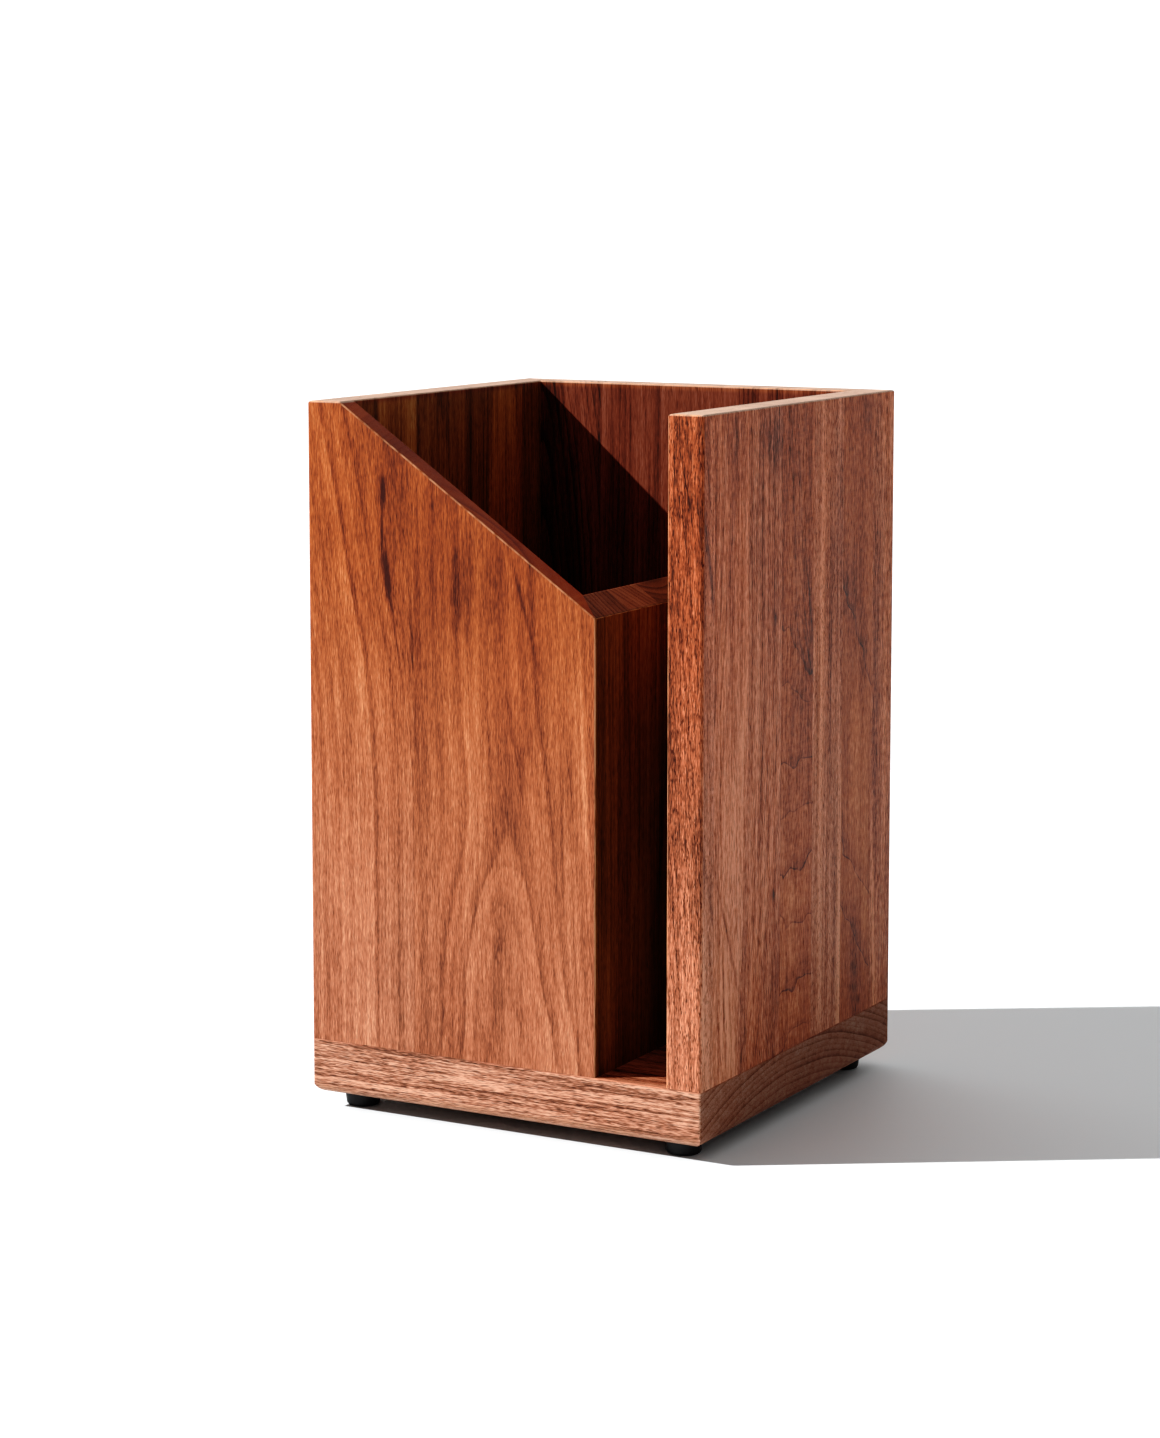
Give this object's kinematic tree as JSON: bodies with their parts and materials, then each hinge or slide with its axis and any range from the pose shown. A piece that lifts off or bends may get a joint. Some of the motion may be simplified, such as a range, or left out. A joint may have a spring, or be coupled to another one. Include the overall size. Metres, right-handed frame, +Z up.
{
  "type": "umbrella stand",
  "caption": "Square walnut umbrella stand on a thick base slab, with a main compartment behind a sloped front panel, an open full-height side slot and rubber feet.",
  "frame": {"origin": "Centre of the footprint, on the floor under the feet", "axes": "+Z is up, -Y is the front with the sloped panel and the slot's mouth, +X is the side of the slot"},
  "size_m": [0.24, 0.24, 0.391],
  "materials": {
    "front_walnut": "Plain-sawn walnut boards, reddish brown, satin oil finish",
    "wall_walnut": "Edge-glued walnut staves, mid to dark brown with some sapwood, satin oil finish",
    "base_walnut": "Solid walnut slab with open pores and end grain on its sides, satin oil finish",
    "dowel_beech": "Plain beech dowel, hidden",
    "spline_plywood": "Birch plywood spline, hidden",
    "rubber": "Matt black moulded rubber",
    "steel": "Zinc-plated steel"
  },
  "bodies": {
    "root": {"base_slab": "base_walnut", "front_board_1": "front_walnut", "front_board_2": "front_walnut", "left_stave_1": "wall_walnut", "left_stave_2": "wall_walnut", "left_stave_3": "wall_walnut", "left_stave_4": "wall_walnut", "left_stave_5": "wall_walnut", "left_stave_6": "wall_walnut", "back_stave_1": "wall_walnut", "back_stave_2": "wall_walnut", "back_stave_3": "wall_walnut", "back_stave_4": "wall_walnut", "back_stave_5": "wall_walnut", "right_stave_1": "wall_walnut", "right_stave_2": "wall_walnut", "right_stave_3": "wall_walnut", "right_stave_4": "wall_walnut", "right_stave_5": "wall_walnut", "right_stave_6": "wall_walnut", "right_stave_7": "wall_walnut", "divider_stave_1": "wall_walnut", "divider_stave_2": "wall_walnut", "divider_stave_3": "wall_walnut", "divider_stave_4": "wall_walnut", "divider_stave_5": "wall_walnut", "divider_stave_6": "wall_walnut", "dowels": "dowel_beech", "spline_front_left": "spline_plywood", "spline_front_right": "spline_plywood", "spline_back_left": "spline_plywood", "spline_back_right": "spline_plywood", "foot_front_left": "rubber", "foot_front_right": "rubber", "foot_back_left": "rubber", "foot_back_right": "rubber", "foot_washers": "steel", "foot_screws": "steel"}
  },
  "joints": []
}
